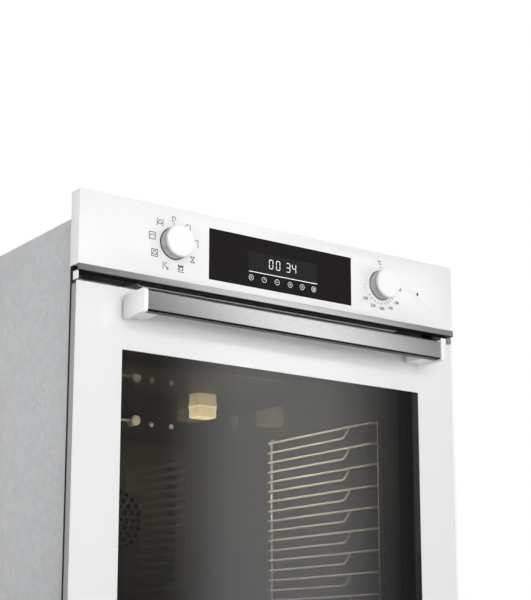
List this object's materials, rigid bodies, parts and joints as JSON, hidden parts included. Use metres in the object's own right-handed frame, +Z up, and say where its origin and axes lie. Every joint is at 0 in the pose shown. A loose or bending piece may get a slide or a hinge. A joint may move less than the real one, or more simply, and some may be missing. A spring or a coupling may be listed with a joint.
{
  "type": "built-in wall oven",
  "caption": "Built-in electric wall oven with a white control panel, pop-out knobs, a display and a drop-down glass door with a steel bar handle.",
  "frame": {"origin": "middle of the base plate's underside, halfway between the door glass and the rear cover", "axes": "+X to the right as seen from the front, +Y from the front towards the back, +Z up"},
  "size_m": [0.594, 0.6155, 0.595],
  "materials": {
    "white_panel": "glossy white enamel",
    "white_print": "white ceramic print behind glass",
    "outer_glass": "clear tempered glass",
    "tinted_glass": "grey low-e glass",
    "black_glass": "black display glass",
    "trim_steel": "brushed",
    "handle_steel": "brushed lengthways",
    "white_plastic": "white, satin gloss",
    "knob_metal": "satin",
    "cavity_enamel": "dark grey oven enamel",
    "frame_enamel": "black enamel",
    "chrome_wire": "polished",
    "galvanised": "galvanised sheet",
    "door_steel": "satin grey",
    "hinge_steel": "zinc plated",
    "mineral_wool": "fibrous",
    "gasket_rubber": "silicone",
    "heater_steel": "heat stained",
    "lamp_cover": "pressed glass",
    "lamp_capsule": "lit",
    "pilot_red": "translucent",
    "white_ceramic": "matt",
    "ivory_plastic": "moulded",
    "circuit_board": "solder mask",
    "motor_steel": "laminated",
    "fan_metal": "stamped",
    "shaft_brass": "turned"
  },
  "bodies": {
    "chassis": {"control_panel": "white_panel", "display_window": "black_glass", "panel_trim_strip": "trim_steel", "knob_bezels": "knob_metal", "cavity_liner": "cavity_enamel", "fan_baffle": "cavity_enamel", "front_frame": "frame_enamel", "panel_bracket": "frame_enamel", "left_side_rack": "chrome_wire", "right_side_rack": "chrome_wire", "temperature_probe": "chrome_wire", "base_plate": "galvanised", "left_side_panel": "galvanised", "right_side_panel": "galvanised", "top_cover": "galvanised", "rear_cover": "galvanised", "chassis_back": "galvanised", "air_duct": "galvanised", "blower_housing": "galvanised", "hinge_receivers": "hinge_steel", "hinge_arms": "hinge_steel", "hinge_pins": "hinge_steel", "cover_screws": "hinge_steel", "insulation": "mineral_wool", "door_gasket": "gasket_rubber", "cable_gland": "gasket_rubber", "ring_heater": "heater_steel", "upper_element": "heater_steel", "bottom_element": "heater_steel", "lamp_glass": "lamp_cover", "lamp_bulb": "lamp_capsule", "indicator_lens": "pilot_red", "lamp_holder": "white_ceramic", "terminal_block": "white_ceramic", "function_switch": "ivory_plastic", "thermostat_body": "ivory_plastic", "display_board": "circuit_board", "blower_motor": "motor_steel", "convection_motor": "motor_steel"},
    "door": {"door_outer_glass": "outer_glass", "door_enamel_print": "white_print", "door_middle_glass": "tinted_glass", "door_inner_glass": "tinted_glass", "door_left_profile": "door_steel", "door_right_profile": "door_steel", "door_top_trim": "door_steel", "door_bottom_trim": "door_steel", "door_glass_spacers": "gasket_rubber", "door_hinge_channels": "hinge_steel", "handle_bar": "handle_steel", "handle_standoffs": "white_plastic", "handle_screws": "hinge_steel"},
    "function_spindle": {"function_shaft": "shaft_brass"},
    "function_knob_body": {"function_knob": "knob_metal", "function_knob_cap": "white_plastic"},
    "thermostat_spindle": {"thermostat_shaft": "shaft_brass"},
    "thermostat_knob_body": {"thermostat_knob": "knob_metal", "thermostat_knob_cap": "white_plastic"},
    "fan_rotor": {"convection_fan": "fan_metal"},
    "blower_rotor": {"blower_wheel": "ivory_plastic"}
  },
  "joints": [
    {"name": "door_hinge", "type": "hinge", "parent": "chassis", "child": "door", "pos_m": [0, -0.266, 0.026], "axis": [1, 0, 0], "range_deg": [0, 90], "stiffness_Nm_per_rad": 5, "springref_deg": -20.05},
    {"name": "function_turn", "type": "hinge", "parent": "chassis", "child": "function_spindle", "pos_m": [-0.166, -0.2615, 0.549], "axis": [0, 1, 0], "continuous": true},
    {"name": "function_push", "type": "slide", "parent": "function_spindle", "child": "function_knob_body", "axis": [0, 1, 0], "range_m": [0, 0.014], "stiffness_N_per_m": 300, "springref_m": -0.004},
    {"name": "thermostat_turn", "type": "hinge", "parent": "chassis", "child": "thermostat_spindle", "pos_m": [0.166, -0.2615, 0.549], "axis": [0, 1, 0], "range_deg": [0, 270]},
    {"name": "thermostat_push", "type": "slide", "parent": "thermostat_spindle", "child": "thermostat_knob_body", "axis": [0, 1, 0], "range_m": [0, 0.014], "stiffness_N_per_m": 300, "springref_m": -0.004},
    {"name": "fan_spin", "type": "hinge", "parent": "chassis", "child": "fan_rotor", "pos_m": [0, 0.1565, 0.255], "axis": [0, 1, 0], "continuous": true},
    {"name": "blower_spin", "type": "hinge", "parent": "chassis", "child": "blower_rotor", "pos_m": [0, 0.0515, 0.51], "axis": [0, 0, 1], "continuous": true}
  ]
}
